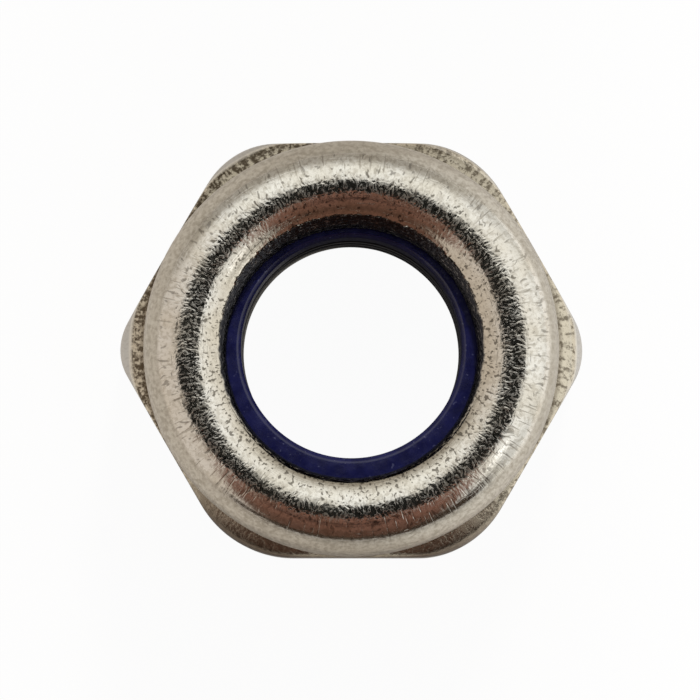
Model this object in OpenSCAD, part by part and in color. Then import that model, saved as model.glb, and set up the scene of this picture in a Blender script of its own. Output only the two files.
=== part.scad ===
// Nylon insert lock nut: a cold-formed hexagon nut whose collar is rolled over a nylon ring.
// Millimetres. The origin is the centre of the bearing face, +Z runs up the bore to the collar.

/* [Bore] */
// Diameter of the bore at the crests of the thread
bore_d = 6.75; // [6.6:0.05:7.1]
// Diameter of the countersink in the bearing face
countersink_d = 8.45; // [7.6:0.05:9.6]
// Angle of the countersink's wall from the bore's axis
countersink_angle = 45; // [30:1:60]

/* [Hexagon] */
// Distance across the flats
across_flats = 12.9; // [12.7:0.05:13.1]
// Distance across the rounded corners
across_corners = 14.3; // [14.1:0.05:14.5]
// Radius of the six upright corners
corner_r = 2; // [1.9:0.05:2.3]
// Height of the shoulder at the foot of the collar
shoulder_z = 5.6; // [5:0.1:6]
// Width of the shoulder, from the collar to the rim
shoulder_w = 0.45; // [0.2:0.05:0.6]
// Fall of the shoulder, from level
shoulder_angle = 30; // [10:1:40]
// Fall of the rim outside the shoulder, from level
rim_angle = 55; // [40:1:75]
// Diameter of the bearing face
bearing_d = 11.8; // [10.5:0.1:12.5]
// Rise of the chamfer around the bearing face, from level
chamfer_angle = 30; // [15:1:40]

/* [Collar] */
// Height of the whole nut
nut_h = 8; // [7.6:0.1:9]
// Outside diameter of the collar
collar_d = 12.75; // [12:0.05:12.8]
// Thickness of the collar's wall and lip
wall = 0.8; // [0.6:0.05:1]
// Outside radius of the bend that rolls the wall over
bend_r = 1.38; // [1.1:0.02:1.5]
// Turn of the lip, from the upright wall to where its nose starts
lip_turn = 139; // [125:1:145]

/* [Insert] */
// Diameter of the insert's bore
insert_bore_d = 6.75; // [6.6:0.05:7.4]
// Height of the recess's floor, which the insert stands on
seat_z = 5.1; // [4.8:0.1:5.3]
// Free height between the insert and the top of the bend
insert_gap = 0.1; // [0.05:0.01:0.14]
// Chamfer on the two edges of the insert's bore
insert_edge = 0.12; // [0.05:0.01:0.3]

/* [Hidden] */
$fn = 72;
flat_r = across_flats / 2;
clear_r = flat_r / cos(30);
corner_at = across_corners / 2 - corner_r;
corner_cut = corner_at + (flat_r - corner_at * cos(30)) * cos(30);
bore_r = bore_d / 2;
countersink_h = (countersink_d - bore_d) / 2 / tan(countersink_angle);
collar_r = collar_d / 2;
recess_r = collar_r - wall;
bend_at = [collar_r - bend_r, nut_h - bend_r];
nose_r = 0.5125 * wall;
rim = [collar_r + shoulder_w, shoulder_z - shoulder_w * tan(shoulder_angle)];

// Plan of the hexagon, each corner turned to its arc
module hexagon() {
    difference() {
        circle(r = clear_r, $fn = 6);
        for (a = [0:60:300]) rotate(a) difference() {
            translate([corner_cut, -corner_r]) square([corner_r, 2 * corner_r]);
            translate([corner_at, 0]) circle(r = corner_r);
        }
    }
}

// Half section of the lip: the collar's wall, bent inward and down to a round nose
module lip_section() {
    translate(bend_at) difference() {
        intersection() {
            circle(r = bend_r);
            union() {
                polygon([[0, 0], for (a = [0, lip_turn / 2, lip_turn]) 3 * bend_r * [cos(a), sin(a)]]);
                rotate(lip_turn) translate([bend_r - wall / 2, 0]) circle(r = nose_r);
            }
        }
        circle(r = bend_r - wall);
    }
}

// Half section of the nut as a round blank, before the flats
module nut_section() {
    polygon([
        [bore_r, countersink_h],
        [countersink_d / 2, 0],
        [bearing_d / 2, 0],
        [clear_r, (clear_r - bearing_d / 2) * tan(chamfer_angle)],
        [clear_r, rim[1] - (clear_r - rim[0]) * tan(rim_angle)],
        rim,
        [collar_r, shoulder_z],
        [collar_r, bend_at[1]],
        [recess_r, bend_at[1]],
        [recess_r, seat_z],
        [bore_r, seat_z]
    ]);
    lip_section();
}

module nut_body() {
    color("silver") intersection() {
        rotate_extrude() nut_section();
        translate([0, 0, -nut_h / 2]) linear_extrude(2 * nut_h) hexagon();
    }
}

// The ring fills the recess, and the lip's nose is pressed into its top face
module nylon_insert() {
    top_z = nut_h - wall - insert_gap;
    hole_r = insert_bore_d / 2;
    color("midnightblue") rotate_extrude() difference() {
        polygon([
            [hole_r, seat_z + insert_edge],
            [hole_r + insert_edge, seat_z],
            [recess_r, seat_z],
            [recess_r, top_z],
            [hole_r + insert_edge, top_z],
            [hole_r, top_z - insert_edge]
        ]);
        lip_section();
    }
}

nut_body();
nylon_insert();
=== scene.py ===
import math

import bmesh
import bpy
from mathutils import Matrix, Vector, noise


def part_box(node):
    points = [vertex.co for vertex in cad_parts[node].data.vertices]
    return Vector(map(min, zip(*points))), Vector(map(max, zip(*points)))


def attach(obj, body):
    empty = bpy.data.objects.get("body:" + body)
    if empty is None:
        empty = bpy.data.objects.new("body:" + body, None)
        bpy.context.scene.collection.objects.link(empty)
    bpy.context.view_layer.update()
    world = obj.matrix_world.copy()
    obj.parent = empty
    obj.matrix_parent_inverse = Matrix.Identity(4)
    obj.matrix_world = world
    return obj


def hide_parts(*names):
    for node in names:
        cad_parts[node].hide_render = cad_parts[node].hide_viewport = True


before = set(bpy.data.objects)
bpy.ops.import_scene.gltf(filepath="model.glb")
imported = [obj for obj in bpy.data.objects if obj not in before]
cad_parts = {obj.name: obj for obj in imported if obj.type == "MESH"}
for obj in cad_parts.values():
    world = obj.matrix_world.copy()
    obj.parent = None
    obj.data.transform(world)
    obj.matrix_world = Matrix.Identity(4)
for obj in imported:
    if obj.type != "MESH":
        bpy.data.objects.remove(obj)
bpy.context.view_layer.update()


# Nut body: one slug of stainless steel, cold-headed to a hexagon with a tall thin collar and a
# recess, turned on its bearing face and tapped. Once the insert is in, the collar is rolled
# inward over it in a die, which burnishes the lip and leaves the collar's outside dull.
mm = 0.001
body_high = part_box("nut_body")[1]
nut_h, flat_r, corner_reach = body_high.z, body_high.y, body_high.x
bore_r, countersink_r, bearing_r = 3.375 * mm, 4.225 * mm, 5.9 * mm
seat_z, shoulder_z = 5.1 * mm, 5.6 * mm
collar_r, wall, bend_r, lip_turn = 6.375 * mm, 0.8 * mm, 1.38 * mm, math.radians(139)
recess_r, bend_at = collar_r - wall, Vector((collar_r - bend_r, 0, nut_h - bend_r))
nose_at = bend_at + (bend_r - wall / 2) * Vector((math.cos(lip_turn), 0, math.sin(lip_turn)))
blank_r = flat_r / math.cos(math.radians(30))
shoulder_w, shoulder_fall = 0.45 * mm, math.radians(30)
rim_r, rim_z = collar_r + shoulder_w, shoulder_z - shoulder_w * math.tan(shoulder_fall)
rim_fall, chamfer_rise = math.radians(55), math.radians(30)
# what each corner and each flat lacks of the full hexagon, counted round from +X
corner_shy = [0, 0.18 * mm, 0.12 * mm, 0, 0.26 * mm, 0.18 * mm]
flat_shy = [0, 0.06 * mm, 0.03 * mm, 0.05 * mm, 0.05 * mm, 0]
thread_pitch, thread_root_r = 1.25 * mm, 4.03 * mm
seat_rim_r = thread_root_r + 0.15 * mm
nose_edge_r = 4.15 * mm
soft_edge, hair, weld = 0.2 * mm, 0.001 * mm, 0.002 * mm
crease, body_columns = math.radians(38), 408

body_bm = bmesh.new()


def run(bm, start, points):
    """A chain of edges from the vertex start through points (radius, height); returns its last vertex."""
    for r, z in points:
        v = bm.verts.new((r, 0, z))
        bm.edges.new((start, v))
        start = v
    return start


def roll(bm, start, centre, turn, steps):
    """Rolls the vertex start round centre, in the section's plane; returns the arc's last vertex."""
    swept = bmesh.ops.spin(bm, geom=[start], cent=centre, axis=(0, -1, 0), angle=turn, steps=steps,
                           use_merge=False, use_normal_flip=False, use_duplicate=False)
    return swept["geom_last"][0]


def round_off(bm, corners, offset, segments):
    """Bevels those corners of the section; returns the new vertices."""
    return bmesh.ops.bevel(bm, geom=corners, offset=offset, offset_type="OFFSET", segments=segments,
                           profile=0.5, affect="VERTICES", material=-1)["verts"]


def divide(bm, edge, step):
    """Cuts an edge of the section into lengths of step or less."""
    cuts = int(edge.calc_length() / step)
    if cuts:
        bmesh.ops.subdivide_edges(bm, edges=[edge], cuts=cuts)


def turn_round(bm, columns):
    """Spins the section once round the axis, and closes it where the turn ends."""
    bmesh.ops.spin(bm, geom=bm.verts[:] + bm.edges[:], cent=(0, 0, 0), axis=(0, 0, 1), angle=math.tau,
                   steps=columns, use_merge=True, use_normal_flip=False, use_duplicate=False)
    bmesh.ops.remove_doubles(bm, verts=bm.verts[:], dist=weld)


# the half section of the round blank: countersink, bearing face, chamfer, side, rim, shoulder, collar
first = body_bm.verts.new((bore_r, 0, countersink_r - bore_r))
collar_top = run(body_bm, first, [
    (countersink_r, 0),
    (bearing_r, 0),
    (blank_r, (blank_r - bearing_r) * math.tan(chamfer_rise)),
    (blank_r, rim_z - (blank_r - rim_r) * math.tan(rim_fall)),
    (rim_r, rim_z),
    (collar_r, shoulder_z),
    (collar_r, bend_at.z),
])
lip_end = roll(body_bm, collar_top, bend_at, lip_turn, 44)
lip_foot = roll(body_bm, lip_end, nose_at, math.pi, 12)
recess_top = roll(body_bm, lip_foot, bend_at, -lip_turn, 10)
last = run(body_bm, recess_top, [(recess_r, seat_z), (seat_rim_r, seat_z), (bore_r, seat_z)])
body_bm.edges.new((last, first))
bmesh.ops.contextual_create(body_bm, geom=body_bm.edges[:])

# edges that handling and the tools have rounded
for spot, radius in (((countersink_r, 0), 0.06), ((bearing_r, 0), 0.2), ((rim_r, rim_z), 0.16)):
    corner = [v for v in body_bm.verts if math.hypot(v.co.x - spot[0], v.co.z - spot[1]) < hair]
    round_off(body_bm, corner, radius * mm, 4)
bmesh.ops.delete(body_bm, geom=body_bm.faces[:], context="FACES_ONLY")

# rows close enough together for the thread, the chamfers and the rim
for edge in body_bm.edges[:]:
    mid = (edge.verts[0].co + edge.verts[1].co) / 2
    if mid.x < countersink_r and mid.z < seat_z:
        step = 0.0625 * mm
    elif mid.x > collar_r and mid.z < shoulder_z and mid.x < blank_r - hair:
        step = 0.075 * mm
    elif mid.z < bend_at.z:
        step = 0.5 * mm
    else:
        step = 0.12 * mm
    divide(body_bm, edge, step)
turn_round(body_bm, body_columns)


def lesser(a, b, blend):
    """The smaller of two lengths, eased into each other where they are nearly equal."""
    near = max(blend - abs(a - b), 0) / blend
    return min(a, b) - near * near * blend / 4


def hexagon(angle):
    """Distance of the hexagon's outline from the axis; its flats and corners aren't all equally full."""
    turn = abs((angle + math.pi / 6) % (math.pi / 3) - math.pi / 6)
    flat = flat_r - flat_shy[math.floor(angle / (math.pi / 3)) % 6]
    sharp = flat / math.cos(math.pi / 6)
    reach = corner_reach - corner_shy[round(angle / (math.pi / 3)) % 6]
    rounding = (sharp - reach) / (sharp / flat - 1)
    centre = reach - rounding
    foot = math.atan2(rounding / 2, centre + rounding * flat / sharp)
    if turn > foot:
        return flat / math.cos(math.pi / 6 - turn)
    return centre * math.cos(turn) + math.sqrt(rounding ** 2 - (centre * math.sin(turn)) ** 2)


def groove(angle, z):
    """Distance of the right-hand thread's surface from the axis, at that angle and height."""
    off = abs((z / thread_pitch - angle / math.tau) % 1 - 0.5) * thread_pitch
    up_flank = -lesser(0, thread_pitch / 16 - off, 0.1 * mm)
    return thread_root_r - up_flank / math.tan(math.radians(30))


def waver(co, wave):
    """A smooth wander from 0 to 1 over the surface, with that wavelength."""
    return 0.5 + 0.5 * noise.noise(co / wave)


def lean(r, angle):
    """The lip's nose stands a little off the axis, and reaches further in on the far side."""
    near_nose = min(max((nose_edge_r - r) / (0.25 * mm), 0), 1)
    return r - near_nose * mm * (0.07 + 0.17 * math.cos(angle - math.radians(92)))


# the flats are pressed into the blank, the thread is cut, and the lip is not quite even
for v in body_bm.verts:
    r, angle, z = math.hypot(v.co.x, v.co.y), math.atan2(v.co.y, v.co.x), v.co.z
    to = r
    if r > collar_r + hair or (r > bearing_r - 0.3 * mm and z < 1 * mm):
        to = lesser(r, hexagon(angle), soft_edge)
    elif r < thread_root_r and z < seat_z + hair:
        to = -lesser(-r, -groove(angle, z), 0.16 * mm)
    elif z > bend_at.z and r < nose_edge_r:
        ragged = 0.08 * waver(v.co, 0.7 * mm) + 0.14 * waver(v.co, 0.16 * mm)
        to = lean(r, angle) + (nose_edge_r - r) * ragged
    elif math.hypot(r - bend_at.x, z - bend_at.z) > bend_r - hair and z > bend_at.z:
        v.co.z -= 0.016 * mm * waver(v.co, 0.9 * mm) * (z - bend_at.z) / bend_r
    if abs(to - r) > 1e-9:
        v.co.x *= to / r
        v.co.y *= to / r


def finished(bm, name):
    """The object of that name made from bm, its faces outwards and shaded smooth between creases."""
    bmesh.ops.recalc_face_normals(bm, faces=bm.faces[:])
    mesh = bpy.data.meshes.new(name)
    bm.to_mesh(mesh)
    bm.free()
    mesh.shade_smooth()
    mesh.set_sharp_from_angle(angle=crease)
    piece = bpy.data.objects.new(name, mesh)
    bpy.context.scene.collection.objects.link(piece)
    return piece


nut_body = finished(body_bm, "nut_body_steel")


def add(tree, kind, inputs=(), **settings):
    """A node of that kind in tree, with its settings, and its inputs given as values or as sockets."""
    node = tree.nodes.new("ShaderNode" + kind)
    for name, value in settings.items():
        setattr(node, name, value)
    for key, value in dict(inputs).items():
        if isinstance(value, bpy.types.NodeSocket):
            tree.links.new(value, node.inputs[key])
        else:
            node.inputs[key].default_value = value
    return node


def math_node(tree, operation, *values):
    """The result of one Math node on the values."""
    return add(tree, "Math", dict(enumerate(values)), operation=operation).outputs[0]


def times(tree, *values):
    """The product of all the values."""
    product = values[0]
    for value in values[1:]:
        product = math_node(tree, "MULTIPLY", product, value)
    return product


def total(tree, *values):
    """The sum of all the values."""
    amount = values[0]
    for value in values[1:]:
        amount = math_node(tree, "ADD", amount, value)
    return amount


def ramp(tree, value, low, high, to_low=0.0, to_high=1.0):
    """value taken smoothly from low..high to to_low..to_high."""
    return add(tree, "MapRange", {"Value": value, "From Min": low, "From Max": high, "To Min": to_low,
                                  "To Max": to_high}, interpolation_type="SMOOTHSTEP").outputs[0]


def mix(tree, share, a, b):
    """A colour between a and b."""
    node = add(tree, "Mix", {0: share}, data_type="RGBA")
    for socket, value in ((node.inputs[6], a), (node.inputs[7], b)):
        if isinstance(value, bpy.types.NodeSocket):
            tree.links.new(value, socket)
        else:
            socket.default_value = (*value, 1)
    return node.outputs[2]


steel = bpy.data.materials.new("stainless_steel")
steel.use_nodes = True
tree = steel.node_tree
shader = tree.nodes["Principled BSDF"]
shader.inputs["Metallic"].default_value = 1.0

# where a point is on the nut, in millimetres: distance from the axis, height, and direction round it
place = add(tree, "VectorMath", {0: add(tree, "TexCoord").outputs["Object"], "Scale": 1000.0},
            operation="SCALE").outputs[0]
split = add(tree, "SeparateXYZ", {0: place}).outputs
flat_place = add(tree, "CombineXYZ", {0: split[0], 1: split[1]}).outputs[0]
radius = add(tree, "VectorMath", {0: flat_place}, operation="LENGTH").outputs["Value"]
height = split[2]
heading = add(tree, "VectorMath", {0: flat_place}, operation="NORMALIZE").outputs[0]
wander = add(tree, "TexNoise", {"Vector": place, "Scale": 2.2, "Detail": 0.0}).outputs["Color"]
crooked = add(tree, "VectorMath", {0: wander, 1: (0.05, 0.05, 0.05), 2: heading},
              operation="MULTIPLY_ADD").outputs[0]


def round_noise(turns, out, detail=2.0, along=crooked):
    """Noise that follows the ring: turns sets how fine it is round the axis, out how fine away from it."""
    around = add(tree, "VectorMath", {0: along, "Scale": turns}, operation="SCALE").outputs[0]
    outward = times(tree, total(tree, radius, times(tree, height, 0.6)), out)
    lift = add(tree, "CombineXYZ", {2: outward}).outputs[0]
    where = add(tree, "VectorMath", {0: around, 1: lift}).outputs[0]
    return add(tree, "TexNoise", {"Vector": where, "Scale": 1.0, "Detail": detail}).outputs["Fac"]


def grain(scale, detail=2.0, rough=0.5):
    """Noise that is the same in every direction; scale is its features per millimetre of place."""
    inputs = {"Vector": place, "Scale": scale, "Detail": detail, "Roughness": rough}
    return add(tree, "TexNoise", inputs).outputs["Fac"]


# zones of finish, each from 0 to 1; rolled_r, nearness and level shift the edges of some to one side
on_collar = ramp(tree, height, 5.61, 5.67)
off_collar = math_node(tree, "SUBTRACT", 1.0, on_collar)
rolled_r = total(tree, radius, ramp(tree, split[0], 3.5, 6.0, 0.0, -0.18))
burnished = times(tree, on_collar, ramp(tree, rolled_r, 5.96, 5.85))
dull = math_node(tree, "SUBTRACT", on_collar, burnished)
crest = times(tree, on_collar, ramp(tree, radius, 4.48, 4.72), ramp(tree, radius, 5.50, 5.24))
nose = times(tree, on_collar, ramp(tree, total(tree, radius, times(tree, grain(4.0), 0.14)), 4.16, 4.08))
nearness = math_node(tree, "MINIMUM", split[1], 0.0)
level = total(tree, height, times(tree, ramp(tree, radius, 6.75, 6.9, 0.0, 0.15),
                                  ramp(tree, split[0], -3.0, 3.0)))
forged = times(tree, off_collar, ramp(tree, total(tree, level, times(tree, nearness, -0.03)), 5.27, 5.37))
foot = times(tree, ramp(tree, height, 5.49, 5.56),
             ramp(tree, math_node(tree, "ABSOLUTE", split[1]), 4.0, 2.5))
near_side = ramp(tree, total(tree, split[1], times(tree, split[0], 0.15)), -3.2, -6.0)
# painted shade, brown, on the shoulder and rim of the near side
near_painted_shade = times(tree, near_side, ramp(tree, height, 5.56, 5.36, 0.45, 1.0), ramp(tree, height, 4.5, 5.0))
# a pale line along the rim's edge, partly wear and partly painted highlight
worn_edge_highlight = times(tree, off_collar, ramp(tree, level, 5.24, 5.30), ramp(tree, level, 5.39, 5.33),
             ramp(tree, split[1], -5.0, -3.0))
rubbed = times(tree, ramp(tree, radius, 6.85, 7.1), ramp(tree, height, 5.2, 4.7))
bored = times(tree, off_collar, ramp(tree, radius, 4.5, 4.35))
turned = ramp(tree, height, 0.12, 0.04)

# patterns: short crooked ridges on the lip with dirt in their hollows, finer worms on its crest, lines
# up the collar, rings and streaks round it, drawn scratches, pits in the rim, scuffs on the flanks
ridges = round_noise(44.0, 6.5, detail=1.0)
inner_near = times(tree, ramp(tree, radius, 4.75, 4.4), ramp(tree, split[1], 3.0, 0.0))
hollows = times(tree, ramp(tree, total(tree, ridges, times(tree, inner_near, -0.04)), 0.40, 0.31),
                ramp(tree, radius, 5.60, 5.25, 0.65, 1.0))
worms = round_noise(62.0, 8.2, detail=0.5)
tops = times(tree, ramp(tree, worms, 0.49, 0.56), ramp(tree, worms, 0.70, 0.61, 0.3, 1.0))
lines = round_noise(90.0, 1.6, detail=2.0)
rings = round_noise(2.5, 13.0, detail=1.0)
streaks = round_noise(26.0, 22.0)
drawn = times(tree, ramp(tree, total(tree, round_noise(76.0, 2.2, detail=0.0, along=heading),
                                     times(tree, split[0], 0.005)), 0.66, 0.76),
              ramp(tree, radius, 5.1, 5.4), ramp(tree, radius, 6.1, 5.9))
cloud = grain(0.9)
pit_noise = total(tree, times(tree, grain(11.0, 3.0, 0.6), 0.4), times(tree, grain(3.5), 0.25),
                  times(tree, round_noise(40.0, 2.0), 0.35), times(tree, split[0], -0.003))
pits = ramp(tree, pit_noise, 0.44, 0.57)
scuffs = times(tree, math_node(tree, "SUBTRACT", burnished, crest),
               ramp(tree, round_noise(9.0, 22.0, detail=1.0), 0.62, 0.72))

# the lip: bright steel, straw-coloured towards the nose, smudged and stained, grimy in its hollows; its
# nose is painted near black as shade, with painted glints
bright, warm, straw = (0.81, 0.79, 0.73), (0.73, 0.69, 0.60), (0.60, 0.54, 0.43)
smudge, stain, grime = (0.42, 0.38, 0.32), (0.42, 0.38, 0.31), (0.10, 0.085, 0.065)
nose_painted_shade, nose_painted_glint = (0.04, 0.04, 0.045), (0.22, 0.21, 0.20)
lip_colour = mix(tree, ramp(tree, cloud, 0.35, 0.7), bright, warm)
lip_colour = mix(tree, times(tree, ramp(tree, radius, 4.65, 4.15), 0.62), lip_colour, straw)
lip_colour = mix(tree, times(tree, ramp(tree, lines, 0.52, 0.36), 0.16), lip_colour, smudge)
lip_colour = mix(tree, times(tree, ramp(tree, grain(8.0, 2.0), 0.55, 0.35), 0.45), lip_colour, stain)
lip_colour = mix(tree, times(tree, hollows, 0.8), lip_colour, grime)
# the nose's colour is painted shade, near black, with paler streaks as painted glints
nose_shade_and_glints = mix(tree, ramp(tree, streaks, 0.56, 0.72), nose_painted_shade, nose_painted_glint)
lip_colour = mix(tree, nose, lip_colour, nose_shade_and_glints)

# the collar's dull outside: pale lines, dun mottling, and browner on the right
dull_pale, dull_dark = (0.63, 0.60, 0.53), (0.57, 0.535, 0.465)
dun, browned = (0.36, 0.325, 0.265), (0.40, 0.37, 0.31)
mottling = times(tree, ramp(tree, grain(7.0, 4.0, 0.6), 0.62, 0.32), 0.75)
dull_colour = mix(tree, ramp(tree, lines, 0.66, 0.32), dull_pale, dull_dark)
dull_colour = mix(tree, mottling, dull_colour, dun)
dull_colour = mix(tree, ramp(tree, split[0], 4.5, 6.0, 0.0, 0.3), dull_colour, browned)

# the shoulder and the rim: yellowed by forging, darkened at the collar's foot by dirt and painted shade,
# and pitted
yellowed, tanned = (0.74, 0.69, 0.57), (0.54, 0.48, 0.37)
foot_dirt_and_shade, pit_dirt = (0.10, 0.075, 0.05), (0.06, 0.040, 0.021)
pitted = times(tree, pits, ramp(tree, split[0], -5.0, 5.0, 0.92, 0.75),
               ramp(tree, near_side, 0.0, 0.8, 1.0, 0.4))
forged_colour = mix(tree, cloud, yellowed, tanned)
# the dark line at the collar's foot is partly dirt and partly painted shade in the crease
forged_colour = mix(tree, times(tree, foot, 0.5), forged_colour, foot_dirt_and_shade)
forged_colour = mix(tree, pitted, forged_colour, pit_dirt)

# the sides: grey and lined, rubbed a little brighter at the corners; the bore is painted dark as shade,
# more so higher up and towards the right
grey, deep_grey, lined = (0.59, 0.58, 0.555), (0.52, 0.51, 0.485), (0.36, 0.34, 0.30)
rubbed_bright, cut_bright, bore_painted_shade = (0.76, 0.74, 0.69), (0.66, 0.63, 0.57), (0.055, 0.05, 0.055)
# painted shade in the bore: darker higher up and towards the right, and lighter on the left as a painted
# highlight
bore_shading = ramp(tree, total(tree, height, times(tree, split[0], 0.8)), 0.3, 2.0)
side_colour = mix(tree, cloud, grey, deep_grey)
side_colour = mix(tree, times(tree, ramp(tree, lines, 0.52, 0.36), 0.3), side_colour, lined)
side_colour = mix(tree, times(tree, rubbed, 0.2), side_colour, rubbed_bright)
side_colour = mix(tree, bored, side_colour, mix(tree, bore_shading, cut_bright, bore_painted_shade))

# all of them, with painted shade in brown on the near corners, a pale line along the rim's edge that is
# partly wear and partly painted highlight, and the drawn scratches
near_shade_brown, worn_highlight_bright, scratch_dark = (0.10, 0.073, 0.055), (0.78, 0.75, 0.67), (0.30, 0.27, 0.22)
colour = mix(tree, forged, side_colour, forged_colour)
colour = mix(tree, times(tree, off_collar, near_painted_shade, 0.88), colour, near_shade_brown)
# the rim's edge line: partly wear, partly painted highlight
colour = mix(tree, times(tree, worn_edge_highlight, 0.65), colour, worn_highlight_bright)
collar_colour = mix(tree, burnished, dull_colour, lip_colour)
collar_colour = mix(tree, times(tree, drawn, 0.5), collar_colour, scratch_dark)
colour = mix(tree, on_collar, colour, collar_colour)
tree.links.new(colour, shader.inputs["Base Color"])

roughness = total(
    tree,
    0.30,
    times(tree, burnished, -0.18),
    times(tree, crest, tops, 0.185),
    times(tree, dull, 0.04),
    times(tree, forged, -0.08),
    times(tree, rubbed, -0.1),
    times(tree, ramp(tree, cloud, 0.3, 0.7), 0.05),
)
tree.links.new(roughness, shader.inputs["Roughness"])

# heights of the surface's marks, in millimetres
relief = total(
    tree,
    times(tree, crest, ridges, 0.006),
    times(tree, crest, worms, 0.005),
    times(tree, burnished, ridges, 0.005),
    times(tree, burnished, rings, 0.003),
    times(tree, nose, grain(9.0, 2.0), 0.02),
    times(tree, nose, streaks, 0.02),
    times(tree, dull, lines, 0.002),
    times(tree, dull, grain(5.0, 3.0), 0.007),
    times(tree, forged, pits, -0.004),
    times(tree, turned, math_node(tree, "SINE", times(tree, radius, 70.0)), 0.002),
    times(tree, grain(9.0, 3.0), 0.003),
    times(tree, scuffs, -0.002),
    times(tree, on_collar, drawn, -0.003),
)
bump = add(tree, "Bump", {"Height": relief, "Strength": 1.0, "Distance": mm})
tree.links.new(bump.outputs[0], shader.inputs["Normal"])

nut_body.data.materials.append(steel)
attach(nut_body, "root")
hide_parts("nut_body")


# Insert: a ring of navy nylon, stamped from sheet and dropped into the recess. The lip's nose is
# pressed into its top face, and its plain bore is as wide as the thread's crests.
insert_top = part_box("nylon_insert")[1].z
insert_edge, insert_round, insert_columns = 0.12 * mm, 0.045 * mm, 288
insert_bm = bmesh.new()
bend_in = bend_r - wall
top_turn = math.asin((insert_top - bend_at.z) / bend_in)
press_turn = math.asin((nose_at.z - insert_top) / (wall / 2))
start = insert_bm.verts.new((bore_r, 0, seat_z))
shoulder = run(insert_bm, start, [(recess_r, seat_z), (recess_r, bend_at.z)])
top_out = roll(insert_bm, shoulder, bend_at, top_turn, 6)
press_start = run(insert_bm, top_out, [(nose_at.x + wall / 2 * math.cos(press_turn), insert_top)])
press_end = roll(insert_bm, press_start, nose_at, 2 * press_turn - math.pi, 8)
end = run(insert_bm, press_end, [(bore_r, insert_top)])
insert_bm.edges.new((end, start))
bmesh.ops.contextual_create(insert_bm, geom=insert_bm.edges[:])
cut = round_off(insert_bm, [start, end], insert_edge, 1)
round_off(insert_bm, cut, insert_round, 4)
bmesh.ops.delete(insert_bm, geom=insert_bm.faces[:], context="FACES_ONLY")
for edge in insert_bm.edges[:]:
    divide(insert_bm, edge, 0.2 * mm)
turn_round(insert_bm, insert_columns)

# the nose has pressed the top face into its own place
for v in insert_bm.verts:
    r, angle = math.hypot(v.co.x, v.co.y), math.atan2(v.co.y, v.co.x)
    pressed = min(max((r - bore_r - insert_edge) / (0.36 * mm), 0), 1)
    if pressed and v.co.z > bend_at.z:
        to = r + pressed * (lean(r, angle) - r)
        v.co.x *= to / r
        v.co.y *= to / r
nylon_insert = finished(insert_bm, "nylon_insert_ring")

nylon = bpy.data.materials.new("navy_nylon")
nylon.use_nodes = True
tree = nylon.node_tree
shader = tree.nodes["Principled BSDF"]
place = add(tree, "VectorMath", {0: add(tree, "TexCoord").outputs["Object"], "Scale": 1000.0},
            operation="SCALE").outputs[0]
deep_navy, pale_navy, dust_blue = (0.005, 0.0055, 0.036), (0.010, 0.011, 0.058), (0.08, 0.085, 0.16)
navy = mix(tree, ramp(tree, grain(2.0, 3.0), 0.3, 0.7), deep_navy, pale_navy)
dust = ramp(tree, grain(7.5, 1.0), 0.70, 0.76)
tree.links.new(mix(tree, times(tree, dust, 0.5), navy, dust_blue), shader.inputs["Base Color"])
split = add(tree, "SeparateXYZ", {0: place}).outputs
flat_place = add(tree, "CombineXYZ", {0: split[0], 1: split[1]}).outputs[0]
across = add(tree, "VectorMath", {0: flat_place}, operation="LENGTH").outputs["Value"]
dry_wall = times(tree, ramp(tree, across, 3.46, 3.39), ramp(tree, split[0], -2.6, -1.2))
sheen = total(tree, ramp(tree, grain(3.0), 0.3, 0.7, 0.17, 0.28), times(tree, dry_wall, 0.5))
tree.links.new(sheen, shader.inputs["Roughness"])
bump = add(tree, "Bump", {"Height": grain(7.0, 3.0), "Strength": 1.0, "Distance": 0.006 * mm})
tree.links.new(bump.outputs[0], shader.inputs["Normal"])
nylon_insert.data.materials.append(nylon)
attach(nylon_insert, "root")
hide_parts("nylon_insert")


# Table: a matte top that the nut stands on. To the lens it is nearly pure white, with a trace
# of the nut's shadow. Its matte colour is painted shade, dimmer and warmer along the centre line and on
# the left, and that is what it throws back on the nut.
table_bm = bmesh.new()
bmesh.ops.create_grid(table_bm, x_segments=2, y_segments=2, size=2.0)
table_mesh = bpy.data.meshes.new("table")
table_bm.to_mesh(table_mesh)
table_bm.free()
table = bpy.data.objects.new("table", table_mesh)
bpy.context.scene.collection.objects.link(table)
white = bpy.data.materials.new("white_table")
white.use_nodes = True
tree = white.node_tree
tree.nodes.remove(tree.nodes["Principled BSDF"])
rays = add(tree, "LightPath").outputs
mirrored = total(tree, rays["Is Glossy Ray"], rays["Is Transmission Ray"])
plain_share = total(tree, times(tree, rays["Is Camera Ray"], 0.96), times(tree, mirrored, 0.1))
aside = add(tree, "SeparateXYZ", {0: add(tree, "TexCoord").outputs["Object"]}).outputs[0]
# painted shade on the table: dimmer on the left, and dimmest in a strip along the centre line
left_painted_shade, right_side, middle_painted_shade = (0.71, 0.67, 0.62), (0.98, 0.97, 0.95), (0.54, 0.50, 0.45)
lit = mix(tree, ramp(tree, aside, -0.005, 0.005), left_painted_shade, right_side)
beside = ramp(tree, math_node(tree, "ABSOLUTE", aside), 0.004, 0.014)
matte = add(tree, "BsdfDiffuse", {"Color": mix(tree, beside, middle_painted_shade, lit)}).outputs[0]
plain = add(tree, "Emission", {"Color": (1, 1, 1, 1), "Strength": 1.0}).outputs[0]
cover = add(tree, "MixShader", {0: plain_share, 1: matte, 2: plain}).outputs[0]
tree.links.new(cover, tree.nodes["Material Output"].inputs["Surface"])
table.data.materials.append(white)


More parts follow.
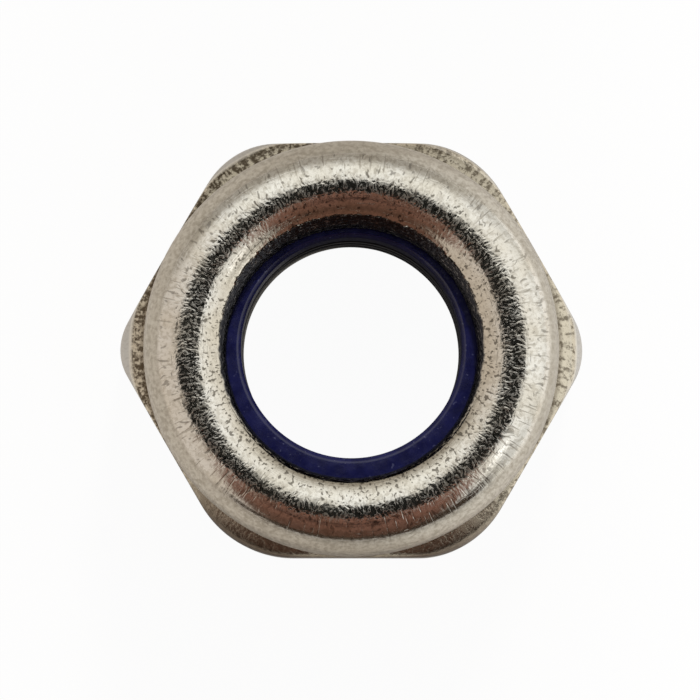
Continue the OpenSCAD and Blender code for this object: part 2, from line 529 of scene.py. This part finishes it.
# Light: a pale room, dimmer and warmer on the left and low on the far side, with a dark flag overhead.
# On the near side hangs a warm brown card with a dark seam, over a dark strip and beside a small
# bright panel. A lamp on the far side throws the shadow of the lip on the insert.
world = bpy.data.worlds.new("pale_room")
bpy.context.scene.world = world
world.use_nodes = True
tree = world.node_tree
look = add(tree, "TexCoord").outputs["Generated"]
way = add(tree, "SeparateXYZ", {0: look}).outputs


def cap(direction, inner, outer):
    """1 within inner degrees of a direction, and 0 beyond outer degrees."""
    facing = add(tree, "VectorMath", {0: look, 1: direction}, operation="DOT_PRODUCT").outputs["Value"]
    return ramp(tree, facing, math.cos(math.radians(outer)), math.cos(math.radians(inner)))


up = math_node(tree, "MAXIMUM", way[2], 0.05)
flag_x = math_node(tree, "DIVIDE", total(tree, math_node(tree, "DIVIDE", way[0], up), 0.01), 0.70)
flag_y = math_node(tree, "DIVIDE", total(tree, math_node(tree, "DIVIDE", way[1], up), 0.085), 0.295)
flag = ramp(tree, total(tree, math_node(tree, "POWER", math_node(tree, "ABSOLUTE", flag_x), 3.0),
                        math_node(tree, "POWER", math_node(tree, "ABSOLUTE", flag_y), 3.0)), 1.19, 0.83)
low_far = times(tree, ramp(tree, way[2], 0.78, 0.28), ramp(tree, way[0], 0.75, 0.35, 0.5, 1.0))
far_light = mix(tree, low_far, (1.12, 1.12, 1.09), (0.40, 0.37, 0.33))
card = mix(tree, ramp(tree, way[2], 0.45, 0.85), (0.115, 0.060, 0.043), (0.22, 0.108, 0.078))
strip_top = total(tree, way[2], ramp(tree, way[0], 0.3, 0.6, 0.0, -0.12))
strip = times(tree, ramp(tree, strip_top, 0.37, 0.31), ramp(tree, way[2], 0.10, 0.16),
              ramp(tree, way[1], -0.25, -0.5), ramp(tree, way[0], -0.72, -0.58),
              ramp(tree, way[0], 0.80, 0.62, 0.15, 1.0))
seam_off = math_node(tree, "ABSOLUTE", total(tree, way[2], -0.80))
seam = times(tree, ramp(tree, seam_off, 0.05, 0.02), ramp(tree, way[0], -0.38, -0.26),
             ramp(tree, way[0], 0.26, 0.14), ramp(tree, way[1], -0.2, -0.4))
right_glow = cap((0.80, 0.12, 0.59), 10, 42)
left_dusk = cap((-0.78, -0.36, 0.5), 25, 65)
on_card = cap((-0.026, -0.743, 0.669), 28, 38)
panel = cap((0.627, -0.439, 0.643), 4, 7)
room = mix(tree, ramp(tree, way[1], 0.05, 0.55), (0.85, 0.84, 0.81), far_light)
room = mix(tree, right_glow, room, (1.08, 1.07, 1.04))
room = mix(tree, left_dusk, room, (0.71, 0.64, 0.58))
room = mix(tree, on_card, room, card)
room = mix(tree, times(tree, seam, 0.85), room, (0.02, 0.012, 0.01))
room = mix(tree, strip, room, (0.045, 0.03, 0.02))
room = mix(tree, panel, room, (1.6, 1.6, 1.6))
room = mix(tree, flag, room, (0.012, 0.012, 0.011))
background = tree.nodes["Background"]
tree.links.new(room, background.inputs["Color"])
background.inputs["Strength"].default_value = 1.0

lamp_from = Vector((0.17, 0.76, 0.62))
lamp_data = bpy.data.lights.new("far_lamp", "SUN")
lamp_data.energy = 2.4
lamp_data.angle = math.radians(10)
lamp = bpy.data.objects.new("far_lamp", lamp_data)
lamp.rotation_euler = lamp_from.to_track_quat("Z", "Y").to_euler()
lamp.visible_glossy = False
bpy.context.scene.collection.objects.link(lamp)


# Camera: a long lens that looks down on the collar from above, leaning 2.2 degrees to the near side.
# At the height that it is aimed at, a millimetre is 32.4 pixels of the 700 across the picture.
lens_tilt, lens_distance = math.radians(2.2), 0.2
sensor_w, picture_px, px_per_mm = 36, 700, 32.4
aim = Vector((-0.00004, 0, 0.00526))
camera_data = bpy.data.cameras.new("lens")
camera_data.sensor_width = sensor_w
camera_data.lens = sensor_w * px_per_mm / picture_px * lens_distance / mm
camera_data.clip_start, camera_data.clip_end = 0.01, 10
camera = bpy.data.objects.new("lens", camera_data)
bpy.context.scene.collection.objects.link(camera)
back = Vector((0, -math.sin(lens_tilt), math.cos(lens_tilt)))
camera.location = aim + back * lens_distance
camera.rotation_euler = (lens_tilt, 0, 0)
bpy.context.scene.camera = camera

bpy.context.scene.view_settings.view_transform = "Standard"
